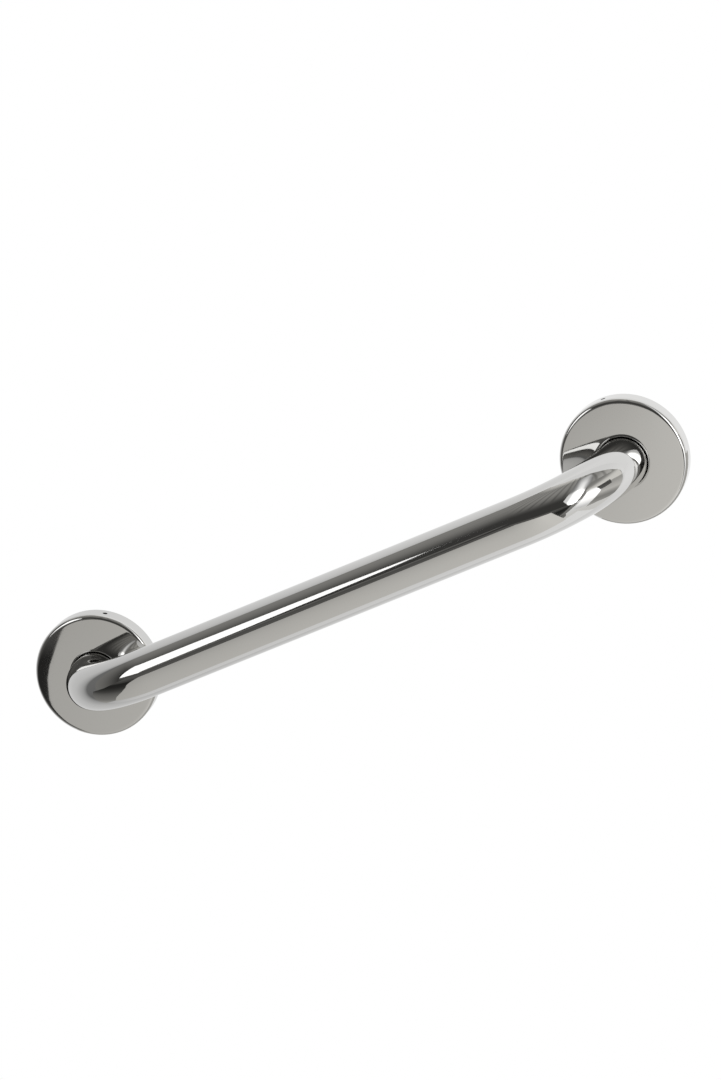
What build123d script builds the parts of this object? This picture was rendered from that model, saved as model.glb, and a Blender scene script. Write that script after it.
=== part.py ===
from build123d import *
import math
import os

# Straight grab bar with concealed fixing, in millimetres.
# One polished tube is bent at both ends into legs, each welded to a mounting flange under a loose round cover.
# X runs along the bar, the wall is the plane y = 0, the bar stands off it towards -Y, and +Z is up.
# The origin lies on the wall, midway between the axes of the two legs.

# Tube
TUBE_DIAMETER = 32.0
TUBE_WALL = 1.5
LEG_SPACING = 384.0  # between the axes of the two legs
BAR_PROJECTION = 75.0  # from the wall to the axis of the bar
BEND_RADIUS = 60.0  # of the tube's axis
TUBE_END_SETBACK = 0.5  # keeps the tube's end off the wall, so that the flange seats flat

# Cover, drawn from sheet
COVER_DIAMETER = 82.0
COVER_SHEET = 1.0
RIM_DEPTH = 13.0  # from the wall to the face, at the face's edge
RIM_FILLET = 3.0  # outside radius between the rim and the face
CROWN_RADIUS = 400.0  # of the slightly domed face
LEG_CLEARANCE = 0.3  # all round, between the leg and the cover's hole
LIP_RADIUS = 1.5  # outside radius where the face turns in at the hole
LIP_STRAIGHT = 1.0  # plain wall of the hole, past its rounded lip

# Mounting flange, a dish pressed from plate and welded round the leg
FLANGE_SHEET = 2.5
FLANGE_HEIGHT = 9.0  # of the turned-up rim, from the wall
FLANGE_BEND = 2.0  # inside radius between the plate and the rim
FLANGE_EDGE = 0.5  # radius to which the rim's sheared edge is worn by the press
FLANGE_GAP = 2.5  # all round, between the flange's rim and the inside of the cover
WELD_SEAT_GAP = 0.1  # all round, between the leg and the plate's hole, under the weld
WELD_LEG = 3.0
WALL_SCREW_COUNT = 3
WALL_SCREW_HOLE = 6.5
WALL_SCREW_CIRCLE = 54.0  # diameter of the circle on which the wall screws lie

# Set screw in the cover's rim
SET_SCREW_DIAMETER = 3.0
SET_SCREW_FIT = 0.05  # all round, between the screw and its hole
SET_SCREW_SOCKET = 1.5  # across the flats of the hexagon
SET_SCREW_SOCKET_DEPTH = 1.4
SET_SCREW_CHAMFER = 0.4
SET_SCREW_SUNK = 0.4  # below the outside of the rim
SET_SCREW_BACKED_OFF = 0.1  # from the flange's rim, so that the cover can slide
SET_SCREW_DEPTH = 6.0  # from the wall to the screw's axis
COLLAR_WALL = 0.9  # of the drawn collar that gives the screw its thread
COLLAR_DEPTH = 1.2
LEFT_SCREW_ANGLE = 32.5  # from straight up, turning towards +X
RIGHT_SCREW_ANGLE = 5.0

# Sizes that follow from these
tube_radius = TUBE_DIAMETER / 2
cover_radius = COVER_DIAMETER / 2
cover_inside = cover_radius - COVER_SHEET
hole_radius = tube_radius + LEG_CLEARANCE
flange_radius = cover_inside - FLANGE_GAP
flange_outer_bend = FLANGE_BEND + FLANGE_SHEET


def on_wall(piece, x):
    """Stand a piece that was modelled round Z on the wall at x, with its Z pointing away from the wall."""
    return Location((x, 0, 0), (90, 0, 0)) * piece


def revolved(section):
    """Turn a section of the XZ plane round Z."""
    return revolve(Plane.XZ * section, Axis.Z)


def bent_tube():
    """The bar and its two legs, one length of tube swept along one bent line."""
    left = -LEG_SPACING / 2
    right = LEG_SPACING / 2
    path = FilletPolyline(
        (left, -TUBE_END_SETBACK, 0),
        (left, -BAR_PROJECTION, 0),
        (right, -BAR_PROJECTION, 0),
        (right, -TUBE_END_SETBACK, 0),
        radius=BEND_RADIUS,
    )
    start = Plane(origin=path @ 0, z_dir=path % 0)
    ring = Circle(tube_radius) - Circle(tube_radius - TUBE_WALL)
    return sweep(start * ring, path=path)


def cover_shell():
    """A cover's sheet: plain rim, rounded edge, domed face and a lip that turns in round the leg."""
    # The dome's centre is on the axis. The edge and the lip are arcs that run into the dome without a corner.
    edge_centre = Vector(cover_radius - RIM_FILLET, RIM_DEPTH - RIM_FILLET)
    edge_reach = CROWN_RADIUS - RIM_FILLET
    dome_centre = Vector(0, edge_centre.Y - math.sqrt(edge_reach**2 - edge_centre.X**2))
    lip_reach = CROWN_RADIUS - LIP_RADIUS
    lip_x = hole_radius + LIP_RADIUS
    lip_centre = Vector(lip_x, dome_centre.Y + math.sqrt(lip_reach**2 - lip_x**2))

    def on_arc(centre, radius, angle):
        return centre + Vector(math.cos(angle), math.sin(angle)) * radius

    edge_angle = math.atan2(edge_centre.Y - dome_centre.Y, edge_centre.X)
    lip_angle = math.atan2(lip_centre.Y - dome_centre.Y, lip_centre.X)

    def wall_line(rim, edge, dome, lip):
        """One side of the sheet, from the rim's foot to the end of the lip, for the four radii of that side."""
        foot = Vector(rim, 0)
        rim_top = Vector(rim, edge_centre.Y)
        edge_middle = on_arc(edge_centre, edge, edge_angle / 2)
        edge_end = on_arc(edge_centre, edge, edge_angle)
        dome_middle = on_arc(dome_centre, dome, (edge_angle + lip_angle) / 2)
        dome_end = on_arc(dome_centre, dome, lip_angle)
        lip_middle = on_arc(lip_centre, lip, (lip_angle + math.pi) / 2)
        lip_end = Vector(lip_centre.X - lip, lip_centre.Y)
        hole_end = lip_end - Vector(0, LIP_STRAIGHT)
        return [
            Line(foot, rim_top),
            ThreePointArc(rim_top, edge_middle, edge_end),
            ThreePointArc(edge_end, dome_middle, dome_end),
            ThreePointArc(dome_end, lip_middle, lip_end),
            Line(lip_end, hole_end),
        ]

    outside = wall_line(cover_radius, RIM_FILLET, CROWN_RADIUS, LIP_RADIUS)
    inside = wall_line(
        cover_inside,
        RIM_FILLET - COVER_SHEET,
        CROWN_RADIUS - COVER_SHEET,
        LIP_RADIUS - COVER_SHEET,
    )
    foot = Line(outside[0] @ 0, inside[0] @ 0)
    hole_end = Line(outside[-1] @ 1, inside[-1] @ 1)
    return revolved(make_face(outside + inside + [foot, hole_end]))


def screw_axis(angle):
    """A plane on the set screw's axis, with Z pointing out of the cover, for a cover modelled round Z."""
    turn = math.radians(angle)
    outwards = Vector(math.sin(turn), math.cos(turn), 0)
    return Plane(origin=(0, 0, SET_SCREW_DEPTH), x_dir=(0, 0, 1), z_dir=outwards)


def along_screw(circle_radius, start, end):
    """A round bar on the screw's own axis, between two distances from the cover's axis."""
    return Pos(0, 0, start) * extrude(Circle(circle_radius), end - start)


def cover(angle):
    """A cover with the threaded collar that is drawn inwards from its rim."""
    thread_radius = SET_SCREW_DIAMETER / 2 + SET_SCREW_FIT
    axis = screw_axis(angle)
    middle_of_sheet = cover_radius - COVER_SHEET / 2
    collar_end = cover_inside - COLLAR_DEPTH
    collar = along_screw(thread_radius + COLLAR_WALL, collar_end, middle_of_sheet)
    thread = along_screw(thread_radius, flange_radius, cover_radius + COVER_SHEET)
    return cover_shell() + axis * collar - axis * thread


def set_screw(angle):
    """A headless screw with a hexagon socket, just short of the flange's rim."""
    tip = flange_radius + SET_SCREW_BACKED_OFF
    top = cover_radius - SET_SCREW_SUNK
    shank = along_screw(SET_SCREW_DIAMETER / 2, tip, top)
    ends = shank.edges().filter_by(GeomType.CIRCLE)
    shank = chamfer(ends.sort_by(Axis.Z)[0], SET_SCREW_CHAMFER)
    hexagon = RegularPolygon(SET_SCREW_SOCKET / 2, 6, major_radius=False)
    socket = Pos(0, 0, top) * extrude(hexagon, -SET_SCREW_SOCKET_DEPTH)
    return screw_axis(angle) * (shank - socket)


def mounting_flange():
    """A dished plate with a turned-up rim, wall-screw holes and the weld that joins it to the leg."""
    seat = tube_radius + WELD_SEAT_GAP
    with BuildLine() as outline:
        Polyline(
            (seat, 0),
            (flange_radius, 0),
            (flange_radius, FLANGE_HEIGHT),
            (flange_radius - FLANGE_SHEET, FLANGE_HEIGHT),
            (flange_radius - FLANGE_SHEET, FLANGE_SHEET),
            (seat, FLANGE_SHEET),
            close=True,
        )
    section = make_face(outline.edges())
    outer_corner = section.vertices().sort_by_distance((flange_radius, 0))[0]
    section = fillet(outer_corner, flange_outer_bend)
    inner_corner = section.vertices().sort_by_distance((flange_radius - FLANGE_SHEET, FLANGE_SHEET))[0]
    section = fillet(inner_corner, FLANGE_BEND)
    rim_edge = section.vertices().sort_by(Axis.Y)[-2:]
    section = fillet(rim_edge, FLANGE_EDGE)
    weld_section = make_face(
        Polyline(
            (tube_radius, FLANGE_SHEET),
            (tube_radius + WELD_LEG, FLANGE_SHEET),
            (tube_radius, FLANGE_SHEET + WELD_LEG),
            close=True,
        )
    )
    dish = revolved(section) + revolved(weld_section)
    hole = extrude(Circle(WALL_SCREW_HOLE / 2), FLANGE_SHEET)
    for spot in PolarLocations(WALL_SCREW_CIRCLE / 2, WALL_SCREW_COUNT, start_angle=90):
        dish -= spot * hole
    return dish


left_leg = -LEG_SPACING / 2
right_leg = LEG_SPACING / 2
pieces = {
    "grab_tube": bent_tube(),
    "left_mounting_flange": on_wall(mounting_flange(), left_leg),
    "right_mounting_flange": on_wall(mounting_flange(), right_leg),
    "left_cover": on_wall(cover(LEFT_SCREW_ANGLE), left_leg),
    "right_cover": on_wall(cover(RIGHT_SCREW_ANGLE), right_leg),
    "left_set_screw": on_wall(set_screw(LEFT_SCREW_ANGLE), left_leg),
    "right_set_screw": on_wall(set_screw(RIGHT_SCREW_ANGLE), right_leg),
}

os.makedirs("parts", exist_ok=True)
for name, piece in pieces.items():
    piece.label = name
    export_step(piece, f"parts/{name}.step")
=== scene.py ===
import math

import bmesh
import bpy
from mathutils import Matrix, Vector


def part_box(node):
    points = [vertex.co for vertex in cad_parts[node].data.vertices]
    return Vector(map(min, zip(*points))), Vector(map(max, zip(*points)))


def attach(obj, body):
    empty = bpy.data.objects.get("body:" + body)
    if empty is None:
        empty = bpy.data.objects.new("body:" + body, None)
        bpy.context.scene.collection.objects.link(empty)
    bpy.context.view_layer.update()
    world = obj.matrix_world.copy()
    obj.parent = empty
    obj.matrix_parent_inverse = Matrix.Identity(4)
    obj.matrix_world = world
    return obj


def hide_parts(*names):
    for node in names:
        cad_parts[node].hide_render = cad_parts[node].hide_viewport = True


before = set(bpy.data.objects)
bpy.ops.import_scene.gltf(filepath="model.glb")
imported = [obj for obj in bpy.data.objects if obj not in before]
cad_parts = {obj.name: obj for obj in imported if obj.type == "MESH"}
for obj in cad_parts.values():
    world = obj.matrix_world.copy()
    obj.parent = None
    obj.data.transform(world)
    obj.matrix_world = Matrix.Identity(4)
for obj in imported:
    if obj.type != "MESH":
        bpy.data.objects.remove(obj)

bl_info = {
    "name": "Grab bar",
    "version": (1, 0, 0),
    "blender": (4, 5, 0),
    "location": "View3D > Sidebar > Grab bar",
    "description": "A polished steel grab bar with loose covers over its mounting flanges, and its studio",
    "category": "Object",
}

MM = 0.001
WHITE = "FFFFFF"
# Material slots of the tube and the covers.
POLISHED, UNPOLISHED, TAPPED = range(3)

# Sizes that the frame gives, in metres. The wall is y = 0 and the bar stands off it towards -Y.
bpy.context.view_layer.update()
tube_low, tube_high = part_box("grab_tube")
cover_low, cover_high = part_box("right_cover")
tube_diameter = tube_high.z - tube_low.z
leg_x = tube_high.x - tube_diameter / 2
bar_stand_off = -tube_low.y - tube_diameter / 2
tube_end = -tube_high.y
cover_diameter = cover_high.z - cover_low.z
legs = {"left": -leg_x, "right": leg_x}


class GrabTubeSizes(bpy.types.PropertyGroup):
    """Sizes of the bent tube"""

    diameter: bpy.props.FloatProperty(
        name="Diameter", description="Outside diameter of the tube", default=tube_diameter, unit="LENGTH"
    )
    wall: bpy.props.FloatProperty(
        name="Wall", description="Thickness of the tube's wall", default=1.5 * MM, unit="LENGTH"
    )
    bend_radius: bpy.props.FloatProperty(
        name="Bend radius", description="Radius of the tube's axis in its bends",
        default=60 * MM, unit="LENGTH",
    )
    edge_break: bpy.props.FloatProperty(
        name="Edge break", description="Chamfer of the cut ends", default=0.3 * MM, unit="LENGTH"
    )


class CoverSizes(bpy.types.PropertyGroup):
    """Sizes of a round cover"""

    diameter: bpy.props.FloatProperty(
        name="Diameter", description="Outside diameter of the rim", default=cover_diameter, unit="LENGTH"
    )
    sheet: bpy.props.FloatProperty(
        name="Sheet", description="Thickness of the drawn sheet", default=1 * MM, unit="LENGTH"
    )
    rim_depth: bpy.props.FloatProperty(
        name="Rim depth", description="From the wall to the edge of the face", default=13 * MM, unit="LENGTH"
    )
    rim_fillet: bpy.props.FloatProperty(
        name="Rim fillet", description="Radius between the rim and the face", default=3 * MM, unit="LENGTH"
    )
    crown_radius: bpy.props.FloatProperty(
        name="Crown radius", description="Radius of the slightly domed face", default=400 * MM, unit="LENGTH"
    )
    leg_clearance: bpy.props.FloatProperty(
        name="Leg clearance", description="Gap all round the leg", default=0.3 * MM, unit="LENGTH"
    )
    lip_radius: bpy.props.FloatProperty(
        name="Lip radius", description="Radius where the face turns in at its hole",
        default=1.5 * MM, unit="LENGTH",
    )
    lip_straight: bpy.props.FloatProperty(
        name="Lip straight", description="Plain wall of the hole past its lip", default=1 * MM, unit="LENGTH"
    )
    screw_diameter: bpy.props.FloatProperty(
        name="Screw hole", description="Diameter of the set screw's hole", default=3.1 * MM, unit="LENGTH"
    )
    screw_depth: bpy.props.FloatProperty(
        name="Screw depth", description="From the wall to the set screw's axis",
        default=6 * MM, unit="LENGTH",
    )
    collar_wall: bpy.props.FloatProperty(
        name="Collar wall", description="Wall of the collar drawn in for the thread",
        default=0.9 * MM, unit="LENGTH",
    )
    collar_depth: bpy.props.FloatProperty(
        name="Collar depth", description="Length of that collar inside the rim",
        default=1.2 * MM, unit="LENGTH",
    )
    left_screw_angle: bpy.props.FloatProperty(
        name="Left screw", description="Turn of the left cover, from straight up towards +X",
        default=math.radians(32.5), subtype="ANGLE",
    )
    right_screw_angle: bpy.props.FloatProperty(
        name="Right screw", description="Turn of the right cover, from straight up towards +X",
        default=math.radians(5), subtype="ANGLE",
    )


class SteelFinish(bpy.types.PropertyGroup):
    """Colours and gloss of the steel, as sRGB hex values and shader roughness"""

    polished: bpy.props.StringProperty(
        name="Polished tube", description="Colour of the polished tube", default="CDCDCC"
    )
    polished_warm: bpy.props.StringProperty(
        name="Polished tube, warmer", description="Where the buffing left the tube warmer", default="CCCBC9"
    )
    sheet: bpy.props.StringProperty(
        name="Polished sheet", description="Colour of the covers' finer polish", default="D2D2D1"
    )
    sheet_warm: bpy.props.StringProperty(
        name="Polished sheet, warmer", description="Where the buffing left the covers warmer",
        default="D1D0CE",
    )
    mill: bpy.props.StringProperty(
        name="Mill finish", description="Colour of sheet and plate as rolled", default="B4B2AC"
    )
    mill_dark: bpy.props.StringProperty(
        name="Mill finish, darker", description="Darker grain of the rolled surface", default="A09E98"
    )
    # Also used for the painted shade deep in the covers' tapped holes.
    blackened_and_hole_shade: bpy.props.StringProperty(
        name="Blackened steel", description="Colour of the oxide on the set screws", default="2E2D2C"
    )
    # Also used for the lighter turns of that painted shade in the tapped holes.
    blackened_worn_and_thread_shade: bpy.props.StringProperty(
        name="Blackened steel, worn", description="Where the oxide is rubbed thin", default="55534F"
    )
    polished_roughness: bpy.props.FloatProperty(
        name="Polished roughness", description="Mean roughness of the mirror polish",
        default=0.04, min=0, max=1, subtype="FACTOR",
    )


class StudioSettings(bpy.types.PropertyGroup):
    """The camera, the floor and the colours of the studio"""

    azimuth: bpy.props.FloatProperty(
        name="Azimuth", description="Camera's turn from the front towards +X",
        default=math.radians(18.844), subtype="ANGLE",
    )
    elevation: bpy.props.FloatProperty(
        name="Elevation", description="Camera's height above the bar",
        default=math.radians(8.849), subtype="ANGLE",
    )
    roll: bpy.props.FloatProperty(
        name="Roll", description="Camera's turn about its own line of sight",
        default=math.radians(-25.173), subtype="ANGLE",
    )
    distance: bpy.props.FloatProperty(
        name="Distance", description="From the camera to the point it looks at",
        default=3.6498, unit="LENGTH",
    )
    target: bpy.props.FloatVectorProperty(
        name="Target", description="Point that the camera looks at",
        default=(18.12 * MM, -30 * MM, 19.80 * MM), subtype="TRANSLATION",
    )
    lens: bpy.props.FloatProperty(
        name="Lens", description="Focal length on a 36 mm sensor, in millimetres",
        default=191.57, unit="CAMERA",
    )
    floor_drop: bpy.props.FloatProperty(
        name="Floor drop", description="From the bar down to the floor, as high as such bars are fixed",
        default=0.9, unit="LENGTH",
    )
    floor_colour: bpy.props.StringProperty(
        name="Floor colour", description="Pale floor of the studio", default="F0EFEC"
    )
    floor_mottle: bpy.props.StringProperty(
        name="Floor mottle", description="Slightly darker patches of the floor", default="ECEBE8"
    )
    room_colour: bpy.props.StringProperty(
        name="Room colour", description="Table and dark side of the studio", default="FFFDF8"
    )
    backdrop_colour: bpy.props.StringProperty(
        name="Backdrop colour", description="Backdrop paper and lit panels", default=WHITE
    )


def linear(hex_colour):
    """An sRGB hex value as linear RGBA."""
    channels = [int(hex_colour[k:k + 2], 16) / 255 for k in (0, 2, 4)]
    return [c / 12.92 if c <= 0.04045 else ((c + 0.055) / 1.055) ** 2.4 for c in channels] + [1.0]


def add_node(tree, kind, settings=None, links=None):
    """Add a node with its settings and input values, and link inputs to sockets or nodes' first outputs."""
    node = tree.nodes.new(kind)
    for name, value in (settings or {}).items():
        if isinstance(name, int) or name in node.inputs:
            node.inputs[name].default_value = value
        else:
            setattr(node, name, value)
    for name, source in (links or {}).items():
        socket = source.outputs[0] if isinstance(source, bpy.types.Node) else source
        tree.links.new(socket, node.inputs[name])
    return node


def new_material(name):
    """An empty node material and its tree."""
    material = bpy.data.materials.new(name)
    material.use_nodes = True
    material.node_tree.nodes.clear()
    return material, material.node_tree


def per_metre(size_mm):
    """Scale of a texture whose features are to be this many millimetres across."""
    return 1000.0 / size_mm


def polished_steel(name, colour, warmer, line_mm, line_length_mm):
    """Stainless steel, mirror polished on buffing wheels.

    It mirrors the room almost sharply. The eye also gets fine buffing lines, which only soften the gloss
    here and there, slow changes of warmth, and a slight waviness that makes straight reflections tremble.
    """
    haze_mm = 45
    wave_mm = 18
    finish = bpy.context.scene.steel_finish
    material, tree = new_material(name)
    lay = add_node(tree, "ShaderNodeAttribute", {"attribute_name": "lay"}).outputs["Vector"]

    # Buffing lines are about 0.02 mm wide in truth, and are drawn far coarser so that they show at all.
    along = add_node(
        tree, "ShaderNodeMapping", {"Scale": (1, 1, line_mm / line_length_mm)}, {"Vector": lay}
    )
    lines = add_node(
        tree, "ShaderNodeTexNoise", {"Scale": per_metre(line_mm), "Detail": 3.0, "Roughness": 0.6},
        {"Vector": along},
    )
    haze = add_node(
        tree, "ShaderNodeTexNoise", {"Scale": per_metre(haze_mm), "Detail": 2.0}, {"Vector": lay}
    )
    gloss = add_node(tree, "ShaderNodeMath", {"operation": "MULTIPLY_ADD", 1: 0.5}, {0: haze, 2: lines})
    mean = finish.polished_roughness
    roughness = add_node(
        tree, "ShaderNodeMapRange",
        {"From Min": 0.45, "From Max": 1.05, "To Min": mean * 0.6, "To Max": mean * 1.4},
        {"Value": gloss},
    )
    tint = add_node(
        tree, "ShaderNodeMix", {"data_type": "RGBA", 6: linear(colour), 7: linear(warmer)}, {0: haze}
    )
    waviness = add_node(
        tree, "ShaderNodeTexNoise", {"Scale": per_metre(wave_mm), "Detail": 1.0}, {"Vector": lay}
    )
    bump = add_node(tree, "ShaderNodeBump", {"Strength": 0.12, "Distance": 0.02 * MM}, {"Height": waviness})
    shader = add_node(
        tree, "ShaderNodeBsdfPrincipled", {"Metallic": 1.0},
        {"Base Color": tint.outputs[2], "Roughness": roughness, "Normal": bump},
    )
    add_node(tree, "ShaderNodeOutputMaterial", None, {"Surface": shader})
    return material


def mill_steel(name):
    """Stainless sheet and plate as it left the rolls, pressed but not polished.

    The eye gets a dull grey sheen with short grain along the rolling direction and faint cloudy patches.
    """
    finish = bpy.context.scene.steel_finish
    material, tree = new_material(name)
    place = add_node(tree, "ShaderNodeTexCoord").outputs["Object"]
    # Rolling grain is about 0.05 mm wide in truth, and is drawn at 0.6 mm so that it shows.
    grain_mm = 0.6
    grain_length_mm = 9.0
    cloud_mm = 22
    rolled = add_node(
        tree, "ShaderNodeMapping", {"Scale": (grain_mm / grain_length_mm, 1, 1)}, {"Vector": place}
    )
    grain = add_node(
        tree, "ShaderNodeTexNoise", {"Scale": per_metre(grain_mm), "Detail": 4.0, "Roughness": 0.65},
        {"Vector": rolled},
    )
    cloud = add_node(
        tree, "ShaderNodeTexNoise", {"Scale": per_metre(cloud_mm), "Detail": 3.0}, {"Vector": place}
    )
    mixed = add_node(tree, "ShaderNodeMath", {"operation": "MULTIPLY"}, {0: grain, 1: cloud})
    spread = add_node(tree, "ShaderNodeMapRange", {"From Min": 0.12, "From Max": 0.4}, {"Value": mixed})
    colour = add_node(
        tree, "ShaderNodeMix", {"data_type": "RGBA", 6: linear(finish.mill_dark), 7: linear(finish.mill)},
        {0: spread},
    )
    roughness = add_node(tree, "ShaderNodeMapRange", {"To Min": 0.42, "To Max": 0.3}, {"Value": spread})
    bump = add_node(tree, "ShaderNodeBump", {"Strength": 0.25, "Distance": 0.03 * MM}, {"Height": grain})
    shader = add_node(
        tree, "ShaderNodeBsdfPrincipled", {"Metallic": 1.0},
        {"Base Color": colour.outputs[2], "Roughness": roughness, "Normal": bump},
    )
    add_node(tree, "ShaderNodeOutputMaterial", None, {"Surface": shader})
    return material


def blackened_steel(name):
    """Alloy steel with a black oxide, as on small socket set screws.

    The eye gets a near-black, half-dull metal with spots that are rubbed to a browner grey.
    """
    rub_mm = 0.5
    finish = bpy.context.scene.steel_finish
    material, tree = new_material(name)
    place = add_node(tree, "ShaderNodeTexCoord").outputs["Object"]
    rub = add_node(
        tree, "ShaderNodeTexNoise", {"Scale": per_metre(rub_mm), "Detail": 4.0, "Roughness": 0.7},
        {"Vector": place},
    )
    worn = add_node(tree, "ShaderNodeMapRange", {"From Min": 0.5, "From Max": 0.75}, {"Value": rub})
    colour = add_node(
        tree, "ShaderNodeMix",
        {"data_type": "RGBA", 6: linear(finish.blackened_and_hole_shade), 7: linear(finish.blackened_worn_and_thread_shade)},
        {0: worn},
    )
    roughness = add_node(tree, "ShaderNodeMapRange", {"To Min": 0.55, "To Max": 0.32}, {"Value": worn})
    bump = add_node(tree, "ShaderNodeBump", {"Strength": 0.2, "Distance": 0.02 * MM}, {"Height": rub})
    shader = add_node(
        tree, "ShaderNodeBsdfPrincipled", {"Metallic": 1.0},
        {"Base Color": colour.outputs[2], "Roughness": roughness, "Normal": bump},
    )
    add_node(tree, "ShaderNodeOutputMaterial", None, {"Surface": shader})
    return material


def tapped_steel(name):
    """Stainless sheet with a tapped thread, coloured near black as painted shade deep in its hole.

    The eye gets a nearly black hole, with the fine turns of the thread round its wall; both are painted
    shade, the turns a little lighter.
    """
    finish = bpy.context.scene.steel_finish
    material, tree = new_material(name)
    lay = add_node(tree, "ShaderNodeAttribute", {"attribute_name": "lay"}).outputs["Vector"]
    # An M3 thread has a pitch of 0.5 mm. The texture makes ten rings in a length of pi.
    pitch_mm = 0.5
    turns = add_node(
        tree, "ShaderNodeTexWave",
        {"wave_type": "RINGS", "rings_direction": "Z", "Scale": per_metre(pitch_mm) * math.pi / 10},
        {"Vector": lay},
    )
    # Painted shade: near black for the hole, a little lighter on the thread's turns.
    colour = add_node(
        tree, "ShaderNodeMix",
        {"data_type": "RGBA", 6: linear(finish.blackened_and_hole_shade), 7: linear(finish.blackened_worn_and_thread_shade)},
        {0: turns.outputs["Fac"]},
    )
    roughness = add_node(
        tree, "ShaderNodeMapRange", {"To Min": 0.6, "To Max": 0.4}, {"Value": turns.outputs["Fac"]}
    )
    bump = add_node(
        tree, "ShaderNodeBump", {"Strength": 0.8, "Distance": 0.2 * MM}, {"Height": turns.outputs["Fac"]}
    )
    shader = add_node(
        tree, "ShaderNodeBsdfPrincipled", {"Metallic": 1.0},
        {"Base Color": colour.outputs[2], "Roughness": roughness, "Normal": bump},
    )
    add_node(tree, "ShaderNodeOutputMaterial", None, {"Surface": shader})
    return material


def finished_mesh(name, bm, lays, materials):
    """Turn a bmesh into a smooth object that carries its lay, the coordinates that its finish follows."""
    crease = math.radians(32)  # edges sharper than this keep a crease
    bmesh.ops.recalc_face_normals(bm, faces=bm.faces)
    mesh = bpy.data.meshes.new(name)
    bm.to_mesh(mesh)
    bm.free()
    lay = mesh.attributes.new("lay", "FLOAT_VECTOR", "POINT")
    lay.data.foreach_set("vector", [c for point in lays for c in point])
    mesh.shade_smooth()
    mesh.set_sharp_from_angle(angle=crease)
    for material in materials:
        mesh.materials.append(material)
    piece = bpy.data.objects.new(name, mesh)
    bpy.context.scene.collection.objects.link(piece)
    return piece


def bridge(bm, first, second, material_index):
    """Close the strip between two rings of vertices that run the same way."""
    count = len(first)
    for k in range(count):
        face = bm.faces.new((first[k], first[(k + 1) % count], second[(k + 1) % count], second[k]))
        face.material_index = material_index


def refinish(node, material):
    """Give a solid of the frame a finish of its own."""
    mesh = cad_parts[node].data
    mesh.materials.clear()
    mesh.materials.append(material)


class OBJECT_OT_grab_bar_tube(bpy.types.Operator):
    """Build the bar with its two bends and legs as one bent tube"""

    bl_idname = "object.grab_bar_tube"
    bl_label = "Grab tube"

    def stations(self, sizes):
        """Places along the tube's axis, from its left end to its right: distance, centre and sideways."""
        bend = sizes.bend_radius
        leg_end = bar_stand_off - bend
        leg_length = leg_end - tube_end
        bar_length = 2 * (leg_x - bend)
        quarter = math.pi / 2
        turn_steps = 96
        bar_steps = 24
        places = []

        def add_bend(travelled, corner_x, start):
            for k in range(turn_steps + 1):
                angle = quarter * k / turn_steps
                sideways = Vector((math.cos(start + angle), math.sin(start + angle), 0))
                centre = Vector((corner_x, -leg_end, 0)) - sideways * bend
                places.append((travelled + bend * angle, centre, sideways))

        for reach in (0, sizes.edge_break, leg_length / 2):
            places.append((reach, Vector((-leg_x, -tube_end - reach, 0)), Vector((1, 0, 0))))
        travelled = leg_length
        add_bend(travelled, bend - leg_x, 0)
        travelled += bend * quarter
        for k in range(1, bar_steps):
            x = bar_length * k / bar_steps
            places.append((travelled + x, Vector((bend - leg_x + x, -bar_stand_off, 0)), Vector((0, 1, 0))))
        travelled += bar_length
        add_bend(travelled, leg_x - bend, quarter)
        travelled += bend * quarter
        for reach in (leg_length / 2, leg_length - sizes.edge_break, leg_length):
            places.append((travelled + reach, Vector((leg_x, reach - leg_end, 0)), Vector((-1, 0, 0))))
        return places

    def execute(self, context):
        sizes = context.scene.grab_tube_sizes
        segments = 160
        places = self.stations(sizes)
        bm = bmesh.new()
        lays = []

        def ring(place, radius):
            distance, centre, sideways = place
            made = []
            for k in range(segments):
                angle = 2 * math.pi * k / segments
                across = math.cos(angle) * radius
                up = math.sin(angle) * radius
                made.append(bm.verts.new(centre + sideways * across + Vector((0, 0, up))))
                lays.append((across, up, distance))
            return made

        def wall(radius, end_radius, material_index):
            rings = [ring(places[0], end_radius)]
            rings += [ring(place, radius) for place in places[1:-1]]
            rings.append(ring(places[-1], end_radius))
            for first, second in zip(rings, rings[1:]):
                bridge(bm, first, second, material_index)
            return rings

        radius = sizes.diameter / 2
        inside = radius - sizes.wall
        outer = wall(radius, radius - sizes.edge_break, POLISHED)
        inner = wall(inside, inside + sizes.edge_break, UNPOLISHED)
        bridge(bm, outer[0], inner[0], UNPOLISHED)
        bridge(bm, outer[-1], inner[-1], UNPOLISHED)
        # Buffed with the wheel running along the tube, so the lines run lengthways.
        finish = context.scene.steel_finish
        polished = polished_steel(
            "stainless_tube_mirror_polished", finish.polished, finish.polished_warm,
            line_mm=0.8, line_length_mm=30.0,
        )
        bore = mill_steel("stainless_tube_bore_as_drawn")
        tube = finished_mesh("bent_tube", bm, lays, [polished, bore])
        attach(tube, "rail")
        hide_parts("grab_tube")
        return {"FINISHED"}


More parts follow.
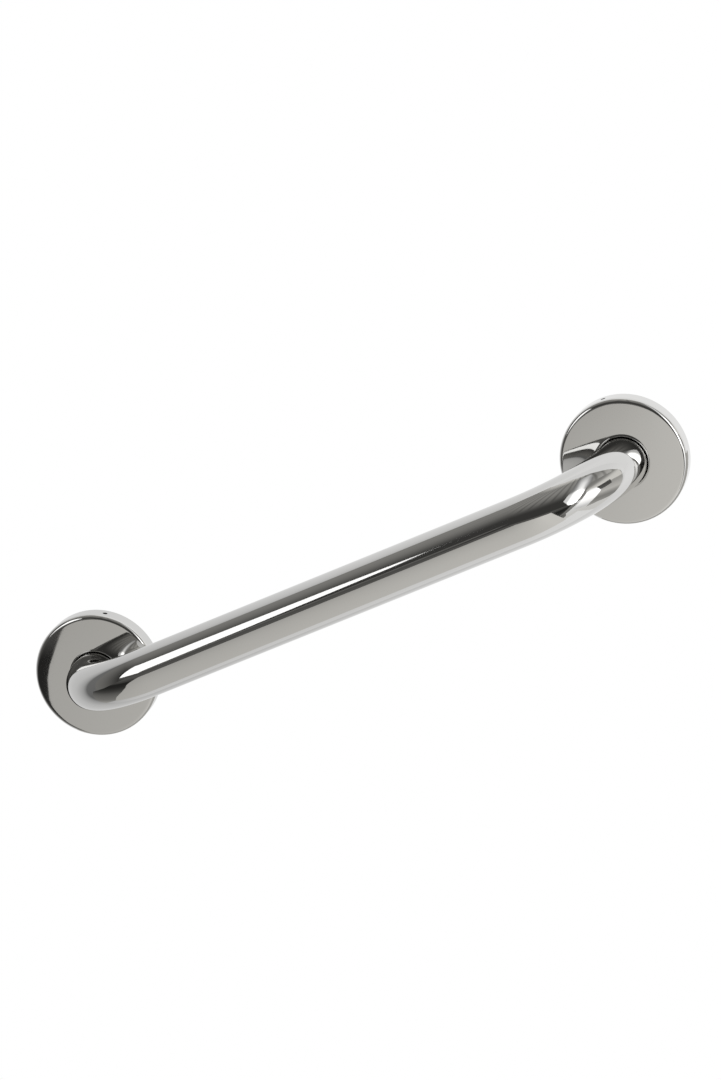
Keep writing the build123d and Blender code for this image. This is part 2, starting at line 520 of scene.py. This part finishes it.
class OBJECT_OT_grab_bar_covers(bpy.types.Operator):
    """Build the two round covers, each with the hole and collar of its set screw"""

    bl_idname = "object.grab_bar_covers"
    bl_label = "Covers"

    segments = 256
    edge_steps = 16
    dome_steps = 28
    lip_steps = 14
    foot_break = 0.15 * MM
    foot_row = 1.2 * MM
    window = 6  # cells of the rim, each way, that the set screw's hole takes up
    window_height = 6 * MM
    first_window_row = 3  # after the three rows of the rim's foot

    def side_of_sheet(self, sizes, offset):
        """Radius and depth of one side of the sheet, from the rim's foot to the end of the hole's lip."""
        rim = sizes.diameter / 2
        hole = tube_diameter / 2 + sizes.leg_clearance
        edge_x = rim - sizes.rim_fillet
        edge_y = sizes.rim_depth - sizes.rim_fillet
        dome_y = edge_y - math.sqrt((sizes.crown_radius - sizes.rim_fillet) ** 2 - edge_x**2)
        lip_x = hole + sizes.lip_radius
        lip_y = dome_y + math.sqrt((sizes.crown_radius - sizes.lip_radius) ** 2 - lip_x**2)
        edge_angle = math.atan2(edge_y - dome_y, edge_x)
        lip_angle = math.atan2(lip_y - dome_y, lip_x)

        points = []
        outwards = 1 if offset == 0 else -1
        points.append((rim - offset - outwards * self.foot_break, 0))
        points.append((rim - offset, self.foot_break))
        points.append((rim - offset, self.foot_row))
        for k in range(self.window + 1):
            depth = sizes.screw_depth + self.window_height * (k / self.window - 0.5)
            points.append((rim - offset, depth))
        points.append((rim - offset, (depth + edge_y) / 2))

        def arc(x, y, radius, start, end, steps, first=0):
            for k in range(first, steps + 1):
                angle = start + (end - start) * k / steps
                points.append((x + radius * math.cos(angle), y + radius * math.sin(angle)))

        arc(edge_x, edge_y, sizes.rim_fillet - offset, 0, edge_angle, self.edge_steps)
        arc(0, dome_y, sizes.crown_radius - offset, edge_angle, lip_angle, self.dome_steps, 1)
        arc(lip_x, lip_y, sizes.lip_radius - offset, lip_angle, math.pi, self.lip_steps, 1)
        points.append((hole + offset, lip_y - sizes.lip_straight))
        return points

    def build(self, name, x, turn, sizes, materials):
        """One cover round the leg at x, turned so that its set screw stands at this angle."""
        bm = bmesh.new()
        lays = []
        step = 2 * math.pi / self.segments
        half = self.window // 2

        def vertex(place, lay):
            lays.append(lay)
            return bm.verts.new(place)

        def lathed(offset, material_index):
            """Revolve one side of the sheet, and leave out the window round the set screw's hole."""
            points = self.side_of_sheet(sizes, offset)
            window_rows = range(self.first_window_row, self.first_window_row + self.window)
            rows = []
            travelled = 0.0
            for k, (radius, depth) in enumerate(points):
                if k:
                    travelled += math.dist(points[k], points[k - 1])
                row = []
                for s in range(self.segments):
                    angle = turn + (s - half) * step
                    across = radius * math.sin(angle)
                    up = radius * math.cos(angle)
                    in_window = k in window_rows[1:] and 0 < s < self.window
                    place = Vector((x + across, -depth, up))
                    row.append(None if in_window else vertex(place, (across, up, travelled)))
                rows.append(row)
            for k in range(len(rows) - 1):
                for s in range(self.segments):
                    if k in window_rows and s < self.window:
                        continue
                    t = (s + 1) % self.segments
                    face = bm.faces.new((rows[k][s], rows[k][t], rows[k + 1][t], rows[k + 1][s]))
                    face.material_index = material_index
            return rows

        def window_loop(rows):
            """The vertices round the window, with their angle about the screw's axis."""
            cells = self.window
            spots = [(s, 0) for s in range(cells)]
            spots += [(cells, k) for k in range(cells)]
            spots += [(s, cells) for s in range(cells, 0, -1)]
            spots += [(0, k) for k in range(cells, 0, -1)]
            loop = [rows[self.first_window_row + k][s] for s, k in spots]
            angles = [math.atan2(k - half, s - half) for s, k in spots]
            return loop, angles

        outside = lathed(0, POLISHED)
        inside = lathed(sizes.sheet, UNPOLISHED)
        bridge(bm, outside[0], inside[0], UNPOLISHED)
        bridge(bm, outside[-1], inside[-1], POLISHED)

        out = Vector((math.sin(turn), 0, math.cos(turn)))
        round_rim = Vector((math.cos(turn), 0, -math.sin(turn)))
        away = Vector((0, -1, 0))
        screw_root = Vector((x, -sizes.screw_depth, 0))
        rim = sizes.diameter / 2
        rim_inside = rim - sizes.sheet
        collar_end = rim_inside - sizes.collar_depth
        bore = sizes.screw_diameter / 2
        collar = bore + sizes.collar_wall
        small = 0.08 * MM  # break of the hole's and the collar's edges
        flat = 0.7 * MM  # even ring of rim round the hole

        loop, angles = window_loop(outside)
        inner_loop, _ = window_loop(inside)

        def screw_ring(radius, surface, below):
            """A ring round the screw's axis, below a rim of radius surface, or flat if surface is None."""
            made = []
            for angle in angles:
                across = radius * math.cos(angle)
                down = radius * math.sin(angle)
                level = below if surface is None else math.sqrt(surface**2 - across**2) - below
                place = screw_root + out * level + round_rim * across + away * down
                made.append(vertex(place, (place.x - x, place.z, -place.y)))
            return made

        # From the rim into the hole, round the collar's end and back to the inside of the rim.
        rings = [
            (loop, POLISHED),
            (screw_ring(bore + flat, rim, 0), POLISHED),
            (screw_ring(bore + 2 * small, rim, 0), POLISHED),
            (screw_ring(bore + small * 0.6, rim, small * 0.4), POLISHED),
            (screw_ring(bore, rim, small * 1.4), TAPPED),
            (screw_ring(bore, None, collar_end + small), TAPPED),
            (screw_ring(bore + small, None, collar_end), UNPOLISHED),
            (screw_ring(collar - small, None, collar_end), UNPOLISHED),
            (screw_ring(collar, None, collar_end + small), UNPOLISHED),
            (screw_ring(collar, rim_inside, 3 * small), UNPOLISHED),
            (screw_ring(collar + small, rim_inside, small), UNPOLISHED),
            (screw_ring(collar + 3 * small, rim_inside, 0), UNPOLISHED),
            (inner_loop, UNPOLISHED),
        ]
        for (first, _), (second, index) in zip(rings, rings[1:]):
            bridge(bm, first, second, index)
        return finished_mesh(name, bm, lays, materials)

    def execute(self, context):
        sizes = context.scene.cover_sizes
        # Buffed while spinning, so the lines run round the axis and hardly change along them.
        finish = context.scene.steel_finish
        polished = polished_steel(
            "stainless_sheet_drawn_and_buffed", finish.sheet, finish.sheet_warm,
            line_mm=30.0, line_length_mm=0.8,
        )
        raw = mill_steel("stainless_sheet_inside_as_drawn")
        tapped = tapped_steel("stainless_sheet_tapped_thread")
        turns = {"left": sizes.left_screw_angle, "right": sizes.right_screw_angle}
        materials = [polished, raw, tapped]
        for side, x in legs.items():
            cover = self.build(f"{side}_round_cover", x, turns[side], sizes, materials)
            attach(cover, f"{side}_cover_body")
            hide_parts(f"{side}_cover")
        return {"FINISHED"}


class OBJECT_OT_grab_bar_flanges(bpy.types.Operator):
    """Finish the two mounting flanges under the covers"""

    bl_idname = "object.grab_bar_flanges"
    bl_label = "Mounting flanges"

    def execute(self, context):
        plate = mill_steel("stainless_plate_pressed")
        for side in legs:
            refinish(f"{side}_mounting_flange", plate)
        return {"FINISHED"}


class OBJECT_OT_grab_bar_set_screws(bpy.types.Operator):
    """Finish the set screws in the covers' rims"""

    bl_idname = "object.grab_bar_set_screws"
    bl_label = "Set screws"

    def execute(self, context):
        black = blackened_steel("alloy_steel_black_oxide")
        for side in legs:
            refinish(f"{side}_set_screw", black)
        return {"FINISHED"}


class OBJECT_OT_grab_bar_stage(bpy.types.Operator):
    """Set up the camera, the pale floor, the white surroundings, the softbox and the mirrored cards"""

    bl_idname = "object.grab_bar_stage"
    bl_label = "Stage"

    def sight(self, studio):
        """The camera's own axes, right, up and back, which also carry the softbox and the cards."""
        a, e, r = studio.azimuth, studio.elevation, studio.roll
        back = Vector((math.sin(a) * math.cos(e), -math.cos(a) * math.cos(e), math.sin(e)))
        level = Vector((math.cos(a), math.sin(a), 0))
        upright = back.cross(level)
        right = level * math.cos(r) + upright * math.sin(r)
        up = upright * math.cos(r) - level * math.sin(r)
        return Matrix((right, up, back)).transposed()

    def seen_by_shine_only(self, obj):
        """Let a card show in reflections without lighting, shading or covering anything."""
        obj.visible_camera = False
        obj.visible_diffuse = False
        obj.visible_shadow = False
        obj.visible_volume_scatter = False

    def add_mesh(self, name, points, faces, material):
        """A mesh that belongs to the stage."""
        mesh = bpy.data.meshes.new(name)
        mesh.from_pydata(points, [], faces)
        mesh.materials.append(material)
        obj = bpy.data.objects.new(name, mesh)
        bpy.context.scene.collection.objects.link(obj)
        return obj

    def background_rays(self, tree):
        """1 for rays that see the background itself: from the camera, or by way of metal or glass."""
        path = add_node(tree, "ShaderNodeLightPath")
        seen = add_node(
            tree, "ShaderNodeMath", {"operation": "MAXIMUM"},
            {0: path.outputs["Is Camera Ray"], 1: path.outputs["Is Glossy Ray"]},
        )
        return add_node(
            tree, "ShaderNodeMath", {"operation": "MAXIMUM"},
            {0: seen, 1: path.outputs["Is Transmission Ray"]},
        )

    def surroundings(self, scene):
        """White all round, at a plain strength."""
        world = bpy.data.worlds.new("white_surroundings")
        scene.world = world
        world.use_nodes = True
        tree = world.node_tree
        tree.nodes.clear()
        white = add_node(tree, "ShaderNodeBackground", {"Color": linear(WHITE), "Strength": 1.0})
        add_node(tree, "ShaderNodeOutputWorld", None, {"Surface": white})

    def floor(self, studio):
        """A pale floor that keeps the shadow below the bar and runs out into the white surroundings."""
        reach = 9.0
        mottle_mm = 60
        material, tree = new_material("studio_floor_matt_paint")
        place = add_node(tree, "ShaderNodeTexCoord").outputs["Object"]
        radius = add_node(tree, "ShaderNodeVectorMath", {"operation": "LENGTH"}, {0: place})
        far = add_node(
            tree, "ShaderNodeMapRange",
            {"interpolation_type": "SMOOTHSTEP", "From Min": 0.5, "From Max": 1.5},
            {"Value": radius.outputs["Value"]},
        )
        white_share = add_node(
            tree, "ShaderNodeMath", {"operation": "MULTIPLY"}, {0: far, 1: self.background_rays(tree)}
        )
        mottle = add_node(
            tree, "ShaderNodeTexNoise", {"Scale": per_metre(mottle_mm), "Detail": 2.0}, {"Vector": place}
        )
        paint = add_node(
            tree, "ShaderNodeMix",
            {"data_type": "RGBA", 6: linear(studio.floor_colour), 7: linear(studio.floor_mottle)},
            {0: mottle},
        )
        matt = add_node(tree, "ShaderNodeBsdfDiffuse", None, {"Color": paint.outputs[2]})
        white = add_node(tree, "ShaderNodeEmission", {"Color": linear(WHITE), "Strength": 1.0})
        top = add_node(tree, "ShaderNodeMixShader", None, {0: white_share, 1: matt, 2: white})
        clear = add_node(tree, "ShaderNodeBsdfTransparent")
        below = add_node(tree, "ShaderNodeNewGeometry").outputs["Backfacing"]
        both = add_node(tree, "ShaderNodeMixShader", None, {0: below, 1: top, 2: clear})
        add_node(tree, "ShaderNodeOutputMaterial", None, {"Surface": both})
        corners = [(-reach, -reach, 0), (reach, -reach, 0), (reach, reach, 0), (-reach, reach, 0)]
        floor = self.add_mesh("studio_floor", corners, [(0, 1, 2, 3)], material)
        floor.location = (0, -bar_stand_off, -studio.floor_drop)

    def towards(self, turn, lift):
        """A direction in the camera's axes, from its turn to the camera's right and its lift, in degrees."""
        turn, lift = math.radians(turn), math.radians(lift)
        return Vector((math.sin(turn) * math.cos(lift), math.sin(lift), math.cos(turn) * math.cos(lift)))

    def dark_room(self, studio, rig):
        """The unlit side of the room behind the camera, which gives the polished steel its dark bands."""
        material, tree = new_material("studio_room_unlit")
        place = add_node(tree, "ShaderNodeTexCoord").outputs["Object"]
        way = add_node(tree, "ShaderNodeVectorMath", {"operation": "NORMALIZE"}, {0: place})
        part = add_node(tree, "ShaderNodeSeparateXYZ", None, {0: way})
        # Its lighter parts: the axis along which each begins and is full, and its glow at both places.
        glows = {}
        for name, axis, begins, full, low, high in (
            ("ceiling", "Y", 0.2, 0.9, 0.055, 0.34),
            ("skylight", "Y", 0.92, 0.99, 0.0, 0.5),
            ("right_wall", "X", 0.45, 0.75, 0.0, 0.3),
            ("left_wall", "Z", 0.6, -0.15, 0.0, 0.225),
        ):
            glows[name] = add_node(
                tree, "ShaderNodeMapRange",
                {
                    "interpolation_type": "SMOOTHSTEP",
                    "From Min": begins, "From Max": full, "To Min": low, "To Max": high,
                },
                {"Value": part.outputs[axis]},
            )
        lighter = add_node(
            tree, "ShaderNodeMath", {"operation": "MAXIMUM"}, {0: glows["ceiling"], 1: glows["left_wall"]}
        )
        added = add_node(
            tree, "ShaderNodeMath", {"operation": "ADD"}, {0: glows["skylight"], 1: glows["right_wall"]}
        )
        plain = add_node(tree, "ShaderNodeMath", {"operation": "ADD"}, {0: lighter, 1: added})
        # Joints between the ceiling's boards fan out from above the bar, to the right of the softbox only.
        # The texture makes ten bands in a length of pi.
        board = math.radians(13)
        bearing = add_node(
            tree, "ShaderNodeMath", {"operation": "ARCTAN2"}, {0: part.outputs["X"], 1: part.outputs["Z"]}
        )
        across = add_node(tree, "ShaderNodeCombineXYZ", None, {"X": bearing})
        boards = add_node(tree, "ShaderNodeTexWave", {"Scale": math.pi / (10 * board)}, {"Vector": across})
        joints = add_node(
            tree, "ShaderNodeMapRange", {"From Max": 0.45, "To Min": 0.68, "To Max": 1.08},
            {"Value": boards.outputs["Fac"]},
        )
        right_part = add_node(
            tree, "ShaderNodeMapRange", {"From Min": -0.70, "From Max": -0.52}, {"Value": part.outputs["X"]}
        )
        overhead = add_node(
            tree, "ShaderNodeMapRange", {"From Min": 0.38, "From Max": 0.52}, {"Value": part.outputs["Y"]}
        )
        boarded = add_node(tree, "ShaderNodeMath", {"operation": "MULTIPLY"}, {0: right_part, 1: overhead})
        shading = add_node(tree, "ShaderNodeMix", {2: 1.0}, {0: boarded, 3: joints})
        strength = add_node(tree, "ShaderNodeMath", {"operation": "MULTIPLY"}, {0: plain, 1: shading})
        glow = add_node(
            tree, "ShaderNodeEmission", {"Color": linear(studio.room_colour)}, {"Strength": strength}
        )
        add_node(tree, "ShaderNodeOutputMaterial", None, {"Surface": glow})

        # Upper edge of the dark side, as turn and lift. Above and behind it, the white surroundings show.
        upper_edge = [
            (-100, 74), (-68, 79), (0, 80), (30, 74), (50, 69), (58, 63), (66, 56), (74, 48),
            (82, 36), (88, 26), (92, 10), (98, -8), (103, -20),
        ]
        radius = 3.2
        bottom = -60
        rows = 30
        steps = 4
        columns = []
        for (turn, lift), (next_turn, next_lift) in zip(upper_edge, upper_edge[1:]):
            for k in range(steps):
                share = k / steps
                columns.append((turn + (next_turn - turn) * share, lift + (next_lift - lift) * share))
        columns.append(upper_edge[-1])
        points = []
        for turn, top in columns:
            for j in range(rows + 1):
                points.append(radius * self.towards(turn, bottom + (top - bottom) * j / rows))
        faces = []
        for i in range(len(columns) - 1):
            for j in range(rows):
                k = i * (rows + 1) + j
                faces.append((k, k + 1, k + rows + 2, k + rows + 1))
        room = self.add_mesh("studio_dark_room", points, faces, material)
        room.matrix_world = rig
        self.seen_by_shine_only(room)

    def fade(self, tree, way, stops):
        """A strength that runs through stops, (place, strength), along a way in the card's axes."""
        place = add_node(tree, "ShaderNodeTexCoord").outputs["Object"]
        reach = add_node(tree, "ShaderNodeVectorMath", {"operation": "DOT_PRODUCT", 1: way}, {0: place})
        first = stops[0][0]
        span = stops[-1][0] - first
        share = add_node(
            tree, "ShaderNodeMapRange", {"From Min": first, "From Max": first + span},
            {"Value": reach.outputs["Value"]},
        )
        ramp = add_node(tree, "ShaderNodeValToRGB", None, {"Fac": share})
        elements = ramp.color_ramp.elements
        for spot, _ in stops[1:-1]:
            elements.new((spot - first) / span)
        for element, (_, strength) in zip(elements, stops):
            element.color = (strength, strength, strength, 1)
        return ramp

    def card(self, name, colour, points, rig, fades=(), strength=1.0, faces=None):
        """A card in the camera's axes. It glows evenly, or by the product of its fades, (way, stops)."""
        material, tree = new_material(name)
        faded = {}
        for way, stops in fades:
            level = self.fade(tree, way, stops)
            if faded:
                both = {0: faded["Strength"], 1: level}
                level = add_node(tree, "ShaderNodeMath", {"operation": "MULTIPLY"}, both)
            faded["Strength"] = level
        glow = add_node(tree, "ShaderNodeEmission", {"Color": linear(colour), "Strength": strength}, faded)
        add_node(tree, "ShaderNodeOutputMaterial", None, {"Surface": glow})
        card = self.add_mesh(name, points, faces or [tuple(range(len(points)))], material)
        card.matrix_world = rig
        self.seen_by_shine_only(card)

    def softbox(self, name, rig, turn, lift, distance, width, height, radiance):
        """A rectangular soft lamp that faces the bar. The steel mirrors the card of its front instead."""
        lamp = bpy.data.lights.new(name, "AREA")
        lamp.shape = "RECTANGLE"
        lamp.size = width
        lamp.size_y = height
        lamp.energy = radiance * math.pi * width * height
        obj = bpy.data.objects.new(name, lamp)
        bpy.context.scene.collection.objects.link(obj)
        back = self.towards(turn, lift)
        right = Vector((0, 1, 0)).cross(back).normalized()
        up = back.cross(right)
        facing = Matrix((right, up, back)).transposed().to_4x4()
        obj.matrix_world = rig @ Matrix.Translation(back * distance) @ facing
        obj.visible_camera = False
        obj.visible_glossy = False

    def studio_cards(self, studio, rig):
        """What the polished steel sees round it: a pale table, dark ground, a backdrop and lit panels."""
        room = studio.room_colour
        paper = studio.backdrop_colour
        to_right = (1, 0, 0)
        upwards = (0, 1, 0)

        # Level cards below the bar, as places to the right and towards the camera.
        def level(drop, outline):
            return [(x, -drop, z) for x, z in outline]

        table = level(drop=0.5, outline=[
            (-0.37, -0.08), (-0.44, 0.08), (-0.53, 0.22), (-0.635, 0.321), (-0.709, 0.419), (-0.756, 0.5),
            (-0.799, 0.591), (-0.841, 0.678), (-0.893, 0.789), (-0.95, 0.93), (-0.95, 1.05), (-0.90, 1.18),
            (-0.84, 1.32), (-0.80, 1.50), (-0.78, 1.75), (0.53, 1.90), (0.53, 0.16), (0.30, 0.04),
            (0.10, -0.03), (-0.10, -0.13), (-0.30, -0.20),
        ])
        table_glow = [
            (-0.75, 0.54), (-0.50, 0.57), (-0.30, 0.62), (-0.10, 0.675), (0.03, 0.72), (0.20, 0.76),
            (0.45, 0.88),
        ]
        self.card("studio_table_pale", room, table, rig, [((1, 0, 0.15), table_glow)])

        sweep = level(drop=0.51, outline=[(-0.30, -0.16), (0.75, 0.30), (0.75, -0.30), (-0.36, -0.30)])
        sweep_glow = [(-0.36, 0.58), (-0.20, 0.76), (-0.10, 0.86), (0.10, 0.93), (0.30, 1.02), (0.60, 1.08)]
        self.card("studio_backdrop_foot", paper, sweep, rig, [(to_right, sweep_glow)])

        ground = level(drop=0.52, outline=[
            (-0.25, -0.30), (-1.30, -0.30), (-1.32, 0.05), (-1.75, 0.55), (-3.2, 2.2), (-3.2, 3.0),
            (2.6, 3.0), (1.37, 1.36), (0.893, 0.847), (0.656, 0.593), (0.60, 0.40), (0.30, 0.0),
        ])
        ground_glow = [
            (-1.70, 0.12), (-1.05, 0.065), (-0.90, 0.022), (-0.60, 0.028), (-0.45, 0.05), (-0.35, 0.08),
            (-0.26, 0.14), (-0.15, 0.20), (-0.03, 0.26), (0.10, 0.50), (0.22, 0.62),
        ]
        self.card("studio_ground_unlit", room, ground, rig, [((0.475, 0, -0.879), ground_glow)])
        ground_edge = level(drop=0.515, outline=[(0.546, 0.615), (0.62, 0.555), (1.74, 1.75), (1.486, 1.96)])
        self.card("studio_ground_edge", room, ground_edge, rig, [(to_right, [(0.5, 0.24), (1.7, 0.34)])])

        # The backdrop stands behind the bar, and its wing comes forward on the right.
        behind = -0.30
        forward = 2.0
        left = -2.2
        right = 5.0
        foot = -1.0
        top = 8.0
        backdrop = [(left, foot, behind), (right, foot, behind), (right, top, behind), (left, top, behind)]
        backdrop_glow = [
            (-0.95, 0.21), (-0.75, 0.50), (-0.50, 0.73), (-0.34, 0.77), (-0.12, 0.85), (0.03, 0.92),
            (0.20, 0.98), (0.60, 1.06), (1.00, 1.12),
        ]
        backdrop_height = [
            (-0.45, 0.93), (-0.20, 0.98), (0.05, 1.0), (0.30, 1.0), (0.75, 0.97), (1.20, 0.95),
        ]
        backdrop_fades = [((1, 0.6, 0), backdrop_glow), (upwards, backdrop_height)]
        self.card("studio_backdrop_paper", paper, backdrop, rig, backdrop_fades)
        wing = [(right, foot, behind), (right, foot, forward), (right, top, forward), (right, top, behind)]
        self.card("studio_backdrop_wing", paper, wing, rig, [(upwards, [(2.0, 1.10), (7.0, 1.02)])])

        # A grey glowing band close round the lower right of each cover is painted shade, and leaves a thin
        # darker line in its edge.
        to_rig = rig.inverted()
        band_radius = 42.5 * MM
        band_start = math.radians(225)
        band_turn = math.radians(120)
        band_depths = (12.8 * MM, 1.0 * MM)
        steps = 12
        for side, leg in legs.items():
            band = []
            for k in range(steps + 1):
                angle = band_start + band_turn * k / steps
                x = leg + band_radius * math.cos(angle)
                z = band_radius * math.sin(angle)
                band += [to_rig @ Vector((x, -depth, z)) for depth in band_depths]
            faces = [(2 * k, 2 * k + 1, 2 * k + 3, 2 * k + 2) for k in range(steps)]
            self.card(f"studio_shade_{side}", room, band, rig, strength=0.50, faces=faces)

        # Upright panels, as turns to the camera's right and lifts, from the part of the bar that shows them.
        middle = Vector((0, 0, 0))
        right_bend = Vector((0.15, 0.06, 0.05))

        def panel(seen_from, distance, ways):
            return [seen_from + distance * self.towards(*way) for way in ways]

        softbox = panel(middle, distance=2.2, ways=[
            (-68.5, -3.5), (-47.0, -4.0), (-43.9, 2.0), (-43.0, 11.0), (-44.6, 16.0), (-50.9, 21.0),
            (-58.0, 23.5), (-64.0, 22.5), (-66.0, 17.0), (-68.0, 6.0),
        ])
        self.card("studio_softbox_front", paper, softbox, rig, strength=1.8)
        skirting = panel(middle, distance=2.3, ways=[(-68, -10), (-34, -10), (-34, -1), (-68, -1)])
        skirting_glow = [(-0.40, 0.10), (-0.24, 0.11), (-0.12, 0.15), (-0.04, 0.25)]
        self.card("studio_wall_below_softbox", room, skirting, rig, [(upwards, skirting_glow)])

        # The strip lamp leaves a soft streak above itself.
        strip = panel(right_bend, distance=2.0, ways=[
            (16, 24), (16, 8), (20, 2), (25, -5), (29, -11), (37, -14), (38, 0), (38, 24), (42, 36),
            (46, 50), (46, 66), (16, 68),
        ])
        strip_glow = [
            (-0.42, 1.5), (-0.25, 5.0), (0.70, 5.0), (0.92, 1.6), (1.12, 1.4), (1.40, 1.2), (1.60, 0.95),
            (1.83, 0.72), (1.92, 0.45),
        ]
        strip_sides = [
            (0.90, 0.2), (0.98, 0.45), (1.08, 0.8), (1.20, 1.0), (1.30, 0.95), (1.40, 0.62), (1.52, 0.3),
        ]
        strip_fades = [(upwards, strip_glow), ((1, 0.3, 0), strip_sides)]
        self.card("studio_strip_lamp", paper, strip, rig, strip_fades)

        haze = panel(right_bend, distance=2.1, ways=[
            (41, 12), (41, 37), (60, 38), (84, 36), (88, 24), (92, 12),
        ])
        haze_glow = [(0.625, 0.30), (0.73, 0.36), (0.815, 0.46), (0.90, 0.66), (1.015, 0.86), (1.15, 0.92)]
        self.card("studio_wall_beside_window", room, haze, rig, [((0.843, -0.537, 0), haze_glow)])
        window = panel(right_bend, distance=1.1, ways=[
            (43, 10), (47, 14), (54, 13), (60, 10), (66, -2), (70, -10), (70, -26), (71, -31), (62, -34),
            (50, -32), (45, -22),
        ])
        window_glow = [
            (-0.555, 0.8), (-0.456, 1.0), (-0.37, 1.25), (-0.28, 1.5), (-0.093, 1.9), (0.137, 2.0),
            (0.213, 1.65), (0.289, 1.35),
        ]
        self.card("studio_window", paper, window, rig, [(upwards, window_glow)])
        side_wall = panel(right_bend, distance=1.05, ways=[
            (66, -2), (72, 4), (76, 14), (92, 14), (94, 8), (97, 0), (101, -10), (107, -22), (104, -27),
            (88, -31), (74, -36), (69, -26),
        ])
        side_wall_glow = [
            (-0.557, 0.55), (-0.433, 0.40), (-0.299, 0.32), (-0.194, 0.48), (-0.086, 0.72), (0.005, 0.66),
            (0.097, 0.60), (0.206, 0.50), (0.314, 0.50),
        ]
        self.card("studio_side_wall", room, side_wall, rig, [(upwards, side_wall_glow)])
        blind = panel(right_bend, distance=1.0, ways=[(55, 11.5), (72, 18), (78, 5), (65, -1)])
        blind_glow = [(0.04, 0.17), (0.25, 0.09), (0.37, 0.16)]
        self.card("studio_blind_dark", room, blind, rig, [(upwards, blind_glow)])

    def execute(self, context):
        scene = context.scene
        studio = scene.studio_settings
        axes = self.sight(studio)
        target = Vector(studio.target)

        lens = bpy.data.cameras.new("camera")
        lens.lens = studio.lens
        lens.sensor_width = 36.0
        lens.clip_start = 0.1
        lens.clip_end = 60.0
        camera = bpy.data.objects.new("camera", lens)
        scene.collection.objects.link(camera)
        camera.matrix_world = Matrix.Translation(target + axes.col[2] * studio.distance) @ axes.to_4x4()
        scene.camera = camera

        # The studio is laid out round a point a little behind the bar's axis, in the camera's axes.
        middle = Vector((0, -0.8 * bar_stand_off, 0))
        rig = Matrix.Translation(middle) @ axes.to_4x4()
        self.surroundings(scene)
        self.floor(studio)
        self.dark_room(studio, rig)
        self.studio_cards(studio, rig)
        self.softbox(
            "left_softbox", rig, turn=-56.0, lift=10.0, distance=2.25, width=0.88, height=0.92, radiance=2.2
        )
        scene.view_settings.view_transform = "Standard"
        return {"FINISHED"}


class VIEW3D_PT_grab_bar(bpy.types.Panel):
    """Sizes, finishes and steps of the grab bar"""

    bl_idname = "VIEW3D_PT_grab_bar"
    bl_label = "Grab bar"
    bl_space_type = "VIEW_3D"
    bl_region_type = "UI"
    bl_category = "Grab bar"

    def draw(self, context):
        layout = self.layout
        scene = context.scene
        for group in (scene.grab_tube_sizes, scene.cover_sizes, scene.steel_finish, scene.studio_settings):
            box = layout.box()
            for name in group.bl_rna.properties.keys():
                if name not in ("rna_type", "name"):
                    box.prop(group, name)
        for operator in OPERATORS:
            layout.operator(operator.bl_idname)


GROUPS = {
    "grab_tube_sizes": GrabTubeSizes,
    "cover_sizes": CoverSizes,
    "steel_finish": SteelFinish,
    "studio_settings": StudioSettings,
}
OPERATORS = (
    OBJECT_OT_grab_bar_tube,
    OBJECT_OT_grab_bar_covers,
    OBJECT_OT_grab_bar_flanges,
    OBJECT_OT_grab_bar_set_screws,
    OBJECT_OT_grab_bar_stage,
)


def register():
    for name, group in GROUPS.items():
        bpy.utils.register_class(group)
        setattr(bpy.types.Scene, name, bpy.props.PointerProperty(type=group))
    for operator in OPERATORS:
        bpy.utils.register_class(operator)
    bpy.utils.register_class(VIEW3D_PT_grab_bar)


def unregister():
    bpy.utils.unregister_class(VIEW3D_PT_grab_bar)
    for operator in reversed(OPERATORS):
        bpy.utils.unregister_class(operator)
    for name, group in reversed(GROUPS.items()):
        delattr(bpy.types.Scene, name)
        bpy.utils.unregister_class(group)


def main():
    register()
    bpy.ops.object.grab_bar_tube()
    bpy.ops.object.grab_bar_covers()
    bpy.ops.object.grab_bar_flanges()
    bpy.ops.object.grab_bar_set_screws()
    bpy.ops.object.grab_bar_stage()


if __name__ == "__main__":
    main()
